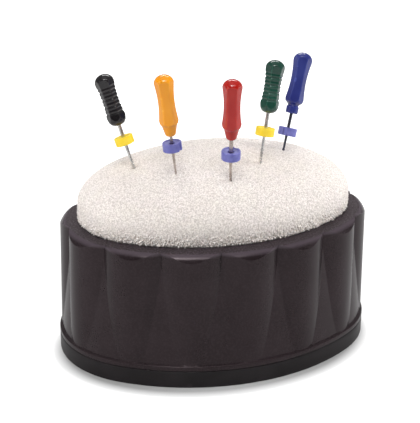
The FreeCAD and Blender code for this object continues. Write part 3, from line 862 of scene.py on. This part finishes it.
def steel(name, bright, dark):
    """Ground steel: fine lines, a film that darkens it in patches, and painted shade in the hollows."""
    material, tree, shader, place = start_material(name, Metallic=1.0)
    lines = noise(tree, place, 0.12, 3.0)
    film = noise(tree, place, 1.5)
    tone = blend(tree, span(tree, film, 0.3, 0.7, 0.0, 1.0), bright, dark)
    bends = add(tree, "ShaderNodeNewGeometry").outputs["Pointiness"]
    # Painted shade in the flutes' hollows, where Pointiness is low
    hollow = span(tree, bends, 0.4, 0.49, 0.9, 0.0)
    tree.links.new(blend(tree, hollow, tone, FLUTE_PAINTED_SHADE), shader.inputs["Base Color"])
    tree.links.new(span(tree, lines, 0.3, 0.7, 0.2, 0.38), shader.inputs["Roughness"])
    raise_grain(tree, shader, lines, 0.004)
    return material


bright_steel = steel("bright_steel", linear(246, 244, 240), linear(208, 205, 202))
warm_steel = steel("warm_steel", linear(206, 192, 184), linear(160, 148, 140))
dark_steel = steel("dark_steel", linear(112, 114, 130), linear(84, 86, 100))
STEEL_OF = {"black": bright_steel, "yellow": warm_steel, "red": warm_steel, "green": bright_steel,
            "blue": dark_steel}
twisted_wire = wire_rule()

for colour, file in FILES.items():
    name = colour + "_instrument"
    values = {"Shank": file.shank * MM, "Tip": file.tip * MM, "Material": STEEL_OF[colour]}
    mesh = follow_rule(twisted_wire, bpy.data.meshes.new(name), values)
    mesh.name = name
    mesh.transform(file_place(colour))
    show(name, mesh, STEEL_OF[colour], "stand", colour + "_file_blade", sharp_deg=30)

# %% [markdown]
# ## Silicone stops
# A stop is a small disc that marks how deep a file may go. Its top is dished, with a funnel round the
# shaft, and a notch in its edge shows which way a bent file points. It is turned from one outline, and
# the notch comes from drawing its outer part inwards over a few degrees. Each stop rides on a body of
# its own, because it is the one thing on a file that slides.

# %% Stop shape
STOP_RADIUS, STOP_HALF = 1.73, 0.775
STOP_PLAY, STOP_COLUMNS = 0.01, 160
# The top's lip as (inset, depth), the dish as (radius, depth), the funnel as (distance from bore, depth)
LIP, DISH, FUNNEL = [(0, 0), (0.3, 0), (0.42, 0.15)], (0.55, 0.19), [(0.06, 0.5), (0, 0.6)]
NOTCH_RADIUS, NOTCH_CENTRE, NOTCH_REACH = 0.42, 1.83, 1.05


def stop_mesh(name, shank):
    bore = shank / 2 + STOP_PLAY
    corners = [(bore, -STOP_HALF), (STOP_RADIUS, -STOP_HALF)]
    corners += [(STOP_RADIUS - inset, STOP_HALF - depth) for inset, depth in LIP]
    corners += [(DISH[0], STOP_HALF - DISH[1])]
    corners += [(bore + out, STOP_HALF - depth) for out, depth in FUNNEL]
    outline = softened(corners, 0.045, 6, closed=True)
    outline[:, 0] = np.maximum(outline[:, 0], bore)
    angle = np.arange(STOP_COLUMNS) * 2 * math.pi / STOP_COLUMNS
    side = NOTCH_CENTRE * np.sin(angle)
    inside = (abs(side) < NOTCH_RADIUS) & (np.cos(angle) > 0)
    bite = NOTCH_CENTRE * np.cos(angle) - np.sqrt(np.maximum(NOTCH_RADIUS ** 2 - side ** 2, 0))
    limit = np.where(inside, np.minimum(bite, STOP_RADIUS), STOP_RADIUS)
    radius, z = outline[:, :1], outline[:, 1:]
    drawn_in = NOTCH_REACH + (radius - NOTCH_REACH) * (limit - NOTCH_REACH) / (STOP_RADIUS - NOTCH_REACH)
    reach = np.where(radius > NOTCH_REACH, drawn_in, radius)
    return skin(name, np.stack([reach * np.cos(angle), reach * np.sin(angle), z + 0 * angle], -1))


# %% Silicone and the five stops
def silicone(name, colour, pale):
    material, tree, shader, place = start_material(
        name, Subsurface_Weight=0.25, Subsurface_Radius=(1.0, 1.0, 1.0), Subsurface_Scale=0.4 * MM,
        Specular_IOR_Level=0.4)
    cloud = noise(tree, place, 0.9)
    tree.links.new(blend(tree, span(tree, cloud, 0.3, 0.7, 0.0, 0.5), colour, pale),
                   shader.inputs["Base Color"])
    tree.links.new(span(tree, cloud, 0.3, 0.7, 0.38, 0.5), shader.inputs["Roughness"])
    raise_grain(tree, shader, noise(tree, place, 0.1), 0.006)
    return material


SILICONE = {
    "yellow": silicone("yellow_silicone", linear(240, 208, 44), linear(246, 222, 92)),
    "blue": silicone("blue_silicone", linear(98, 99, 168), linear(134, 136, 196)),
}
STOP_OF = {"black": "yellow", "yellow": "blue", "red": "blue", "green": "yellow", "blue": "blue"}

for colour, file in FILES.items():
    mesh = stop_mesh(colour + "_stop_disc", file.shank)
    mesh.transform(file_place(colour, -file.stop_below, file.notch))
    show(colour + "_stop_disc", mesh, SILICONE[STOP_OF[colour]], colour + "_stop",
         colour + "_file_stop", sharp_deg=60)

# %% [markdown]
# ## Floor, world and lamps
# A catalogue picture stands on white that runs off without an edge. The floor is a grey diffuse sheet
# with a glow that the camera sees in full and reflections in part. The glow is missing at the foot and
# rises with the distance from it, so a shadow is painted round the stand over the real one, widest
# towards the camera, and the floor is white all round. The world is white behind the stand for the
# camera, and for reflections it is bright above and behind and darker on the near side, as in a studio,
# which gives the black crown of the tub its light and dark bands, helped by the highlight painted on it.
# The lamps that reflections show draw the highlights; the fills, which they don't, only lighten the
# foam.

# %% Floor
FLOOR_HALF, FLOOR_GREY = 2000.0, 0.42
# Centre of the oval round which the shadow is painted on the floor, moved left and towards the camera
SHADOW_CENTRE = (-0.8, -2.2, 0.0)
# From the foot in mm: where the glow starts, where it has risen steeply, and where it is full; short of
# the first, the painted shadow is darkest
GLOW_START, GLOW_BEND, GLOW_FULL = -1.2, 1.5, 120
GLOW_PAST_SHADOW, FAR_GLOW, MIRRORED_GLOW = 0.7, 0.3, 0.22


def seen_directly(tree):
    """1 for camera rays, a part for mirror and glass rays, 0 for rays that light other surfaces."""
    rays = add(tree, "ShaderNodeLightPath").outputs
    mirrored = calc(tree, "MAXIMUM", rays["Is Glossy Ray"], rays["Is Transmission Ray"])
    return calc(tree, "MAXIMUM", rays["Is Camera Ray"], calc(tree, "MULTIPLY", mirrored, MIRRORED_GLOW))


floor_material = bpy.data.materials.new("white_floor")
tree = bare_tree(floor_material)
sheet = add(tree, "ShaderNodeBsdfDiffuse", {"Color": (FLOOR_GREY, FLOOR_GREY, FLOOR_GREY, 1)})


def distance_from_foot(tree):
    """How far a place on the floor is from the foot's outline, in metres."""
    place = add(tree, "ShaderNodeVectorMath", {
        0: add(tree, "ShaderNodeTexCoord").outputs["Object"], 1: tuple(-v * MM for v in SHADOW_CENTRE)})
    ovals = add(tree, "ShaderNodeVectorMath", {
        0: place.outputs[0], 1: (1 / (FOOT_HALF_LONG * MM), 1 / (FOOT_HALF_SHORT * MM), 0)},
        operation="MULTIPLY")
    reach, length = (
        add(tree, "ShaderNodeVectorMath", {0: node.outputs[0]}, operation="LENGTH").outputs["Value"]
        for node in (ovals, place))
    return calc(tree, "SUBTRACT", length, calc(tree, "DIVIDE", length, reach))


away = distance_from_foot(tree)
# Painted shadow: no glow at the foot, rising within a few mm of it
painted_shadow_ramp = span(tree, away, GLOW_START * MM, GLOW_BEND * MM, 0.0, GLOW_PAST_SHADOW)
far_glow = span(tree, away, GLOW_BEND * MM, GLOW_FULL * MM, 0.0, FAR_GLOW)
strength = calc(tree, "MULTIPLY", seen_directly(tree), calc(tree, "ADD", painted_shadow_ramp, far_glow))
glow = add(tree, "ShaderNodeEmission", {"Color": (1, 1, 1, 1), "Strength": strength})
both = add(tree, "ShaderNodeAddShader", {0: sheet.outputs[0], 1: glow.outputs[0]})
add(tree, "ShaderNodeOutputMaterial", {"Surface": both.outputs[0]})
corners = [(FLOOR_HALF * x, FLOOR_HALF * y, 0) for x, y in ((-1, -1), (1, -1), (1, 1), (-1, 1))]
floor_mesh = new_mesh("floor", corners, [(0, 1, 2, 3)])
floor_mesh.materials.append(floor_material)
floor = new_object("floor", floor_mesh)
floor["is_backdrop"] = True
print("floor:", 2 * FLOOR_HALF * MM, "m square")

# %% World
# Directions run from -1 to 1: where overhead starts and ends, and where behind does
OVERHEAD_FROM, OVERHEAD_TO, BEHIND_FROM, BEHIND_TO, BEHIND_SHARE = 0.62, 0.86, -0.25, 0.35, 0.6
WORLD_DIM, WORLD_BRIGHT = 0.1, 0.36

world = bpy.data.worlds.new("studio")
bpy.context.scene.world = world
tree = bare_tree(world)
direction = add(tree, "ShaderNodeTexCoord").outputs["Generated"]
way = add(tree, "ShaderNodeSeparateXYZ", {0: direction}).outputs
overhead = span(tree, way["Z"], OVERHEAD_FROM, OVERHEAD_TO, 0.0, 1.0)
behind = span(tree, way["Y"], BEHIND_FROM, BEHIND_TO, 0.0, BEHIND_SHARE)
brightest = calc(tree, "MAXIMUM", overhead, behind)
brightness = span(tree, brightest, 0.0, 1.0, WORLD_DIM, WORLD_BRIGHT)
camera_ray = add(tree, "ShaderNodeLightPath").outputs["Is Camera Ray"]
strength = add(tree, "ShaderNodeMix", {0: camera_ray, 2: brightness, 3: 1.0}).outputs[0]
sky = add(tree, "ShaderNodeBackground", {"Color": (1, 1, 1, 1), "Strength": strength})
add(tree, "ShaderNodeOutputWorld", {"Surface": sky.outputs[0]})
print("world: white for the camera")

# %% Lamps
# Place in mm, size in mm, power in watts, whether reflections show it; all aim at the foam's foot
AIM_AT = Vector((0, 0, 20))
LAMPS = {
    "top_softbox": ((-60, 40, 520), (420, 320), 0.1, True),
    "key": ((-130, -240, 480), (140, 110), 0.46, True),
    "crown_strip": ((-60, -230, 500), (440, 130), 0.52, True),
    "cap_strip": ((115, 340, 370), (340, 60), 0.7, True),
    "left_softbox": ((-480, -120, 240), (240, 300), 0.18, True),
    "right_softbox": ((460, -160, 220), (300, 340), 0.12, True),
    "back_fill": ((40, 560, 150), (500, 240), 0.9, False),
    "left_fill": ((-500, -60, 200), (300, 300), 1.6, False),
    "right_fill": ((520, -160, 200), (300, 300), 2.8, False),
    "front_fill": ((-150, -600, 220), (600, 340), 0.9, False),
}

for name, (place, size, watts, reflected) in LAMPS.items():
    lamp_data = bpy.data.lights.new(name, "AREA")
    lamp_data.shape = "RECTANGLE"
    lamp_data.size, lamp_data.size_y = size[0] * MM, size[1] * MM
    lamp_data.energy = watts
    lamp = new_object(name, lamp_data)
    lamp.visible_glossy = reflected
    aim = AIM_AT - Vector(place)
    lamp.matrix_world = (Matrix.Translation(Vector(place) * MM)
                         @ aim.to_track_quat("-Z", "Y").to_matrix().to_4x4())
print("lamps:", ", ".join(LAMPS))

bpy.context.scene.view_settings.view_transform = "Standard"

# %% [markdown]
# ## Last: print the sizes and finish
# The dressed stand must fill the same box as the measured solids, so both boxes are printed and can be
# compared.

# %% Sizes and finish
visual_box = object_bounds()
for label, (low, high) in (("solids", solids_box), ("dressed", visual_box)):
    print(label, "box in mm:", [round(v / MM, 2) for v in low], [round(v / MM, 2) for v in high])
